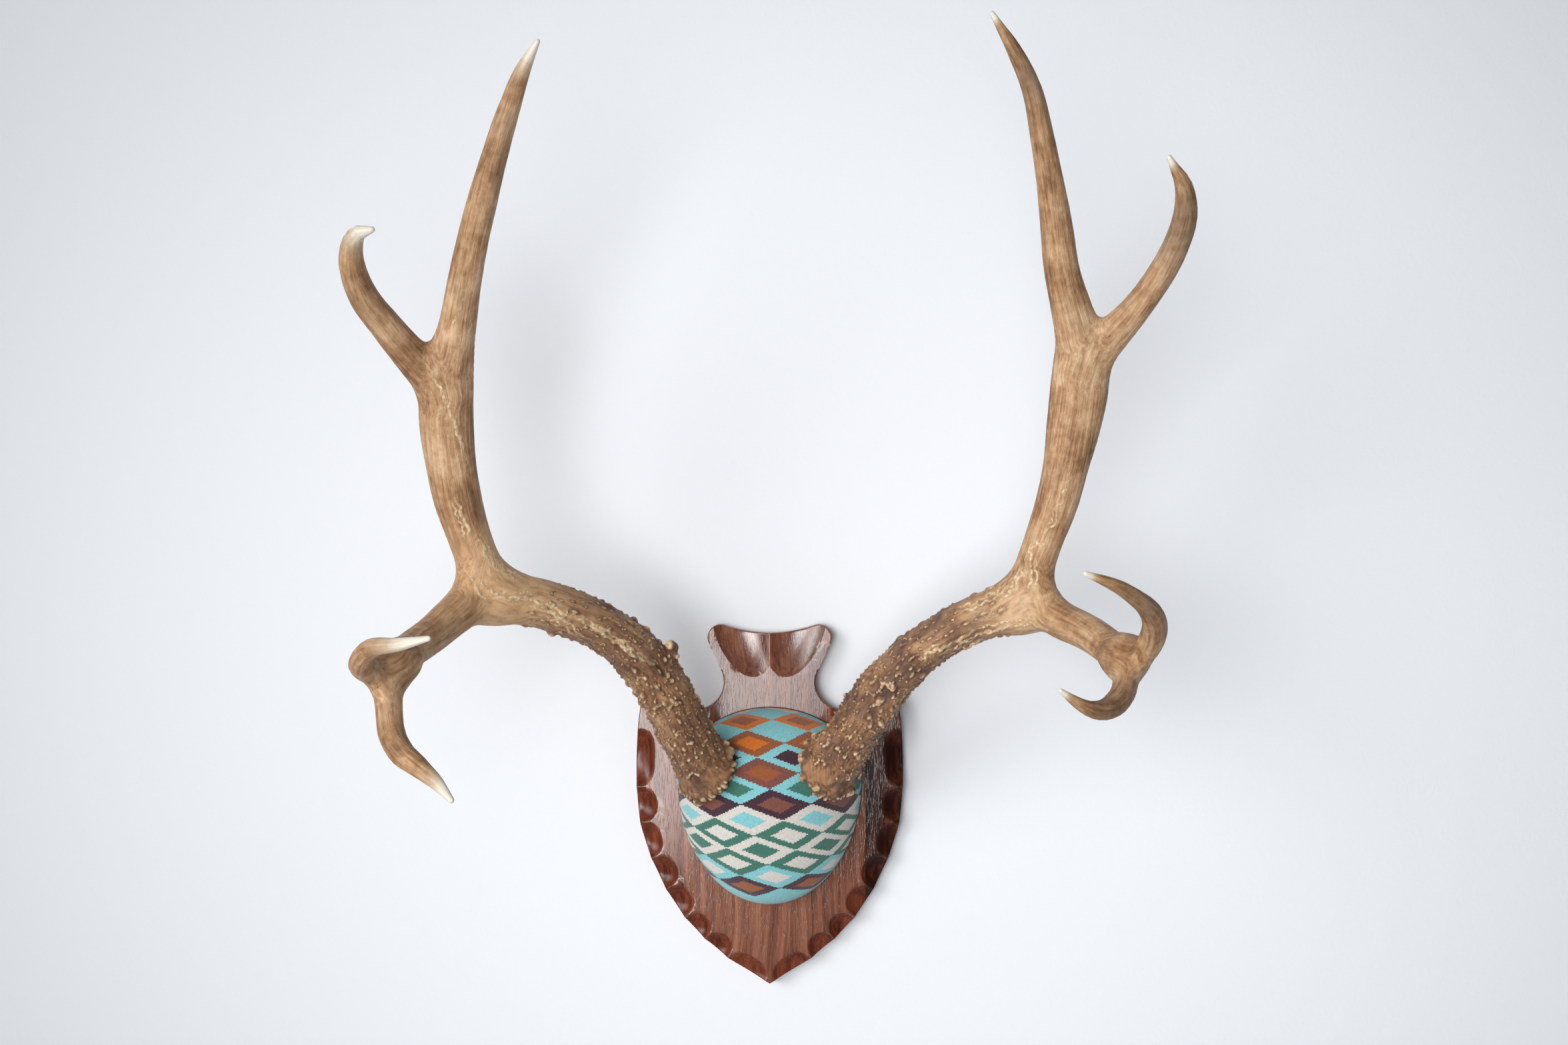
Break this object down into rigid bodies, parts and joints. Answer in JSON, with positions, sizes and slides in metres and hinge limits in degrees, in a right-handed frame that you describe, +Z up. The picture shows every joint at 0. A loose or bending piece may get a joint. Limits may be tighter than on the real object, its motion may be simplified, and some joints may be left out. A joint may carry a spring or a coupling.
{
  "type": "deer antler trophy mount",
  "caption": "Wall-hung pair of branching deer antlers on a domed cloth-covered boss, carried by a carved hardwood shield with scalloped edges.",
  "frame": {"origin": "centre of the shield's flat back, at mid width and mid height, on the wall's surface", "axes": "+Z up, +Y into the wall, front faces -Y, +X to the viewer's right"},
  "size_m": [0.6113, 0.432, 0.7513],
  "materials": {
    "walnut": "satin oiled walnut, vertical grain, glued boards, redder and glossier in the gouged edge",
    "wool_cloth": "felted woven wool, turquoise ground with stepped geometric figures in orange, rust, plum, green and cream",
    "antler_bone": "natural deer antler, dry brown with fine lengthwise grooves, pale pearls near the burr and polished ivory tips"
  },
  "bodies": {
    "root": {"plaque": "walnut", "covered_boss": "wool_cloth", "antler_left": "antler_bone", "antler_right": "antler_bone"}
  },
  "joints": []
}
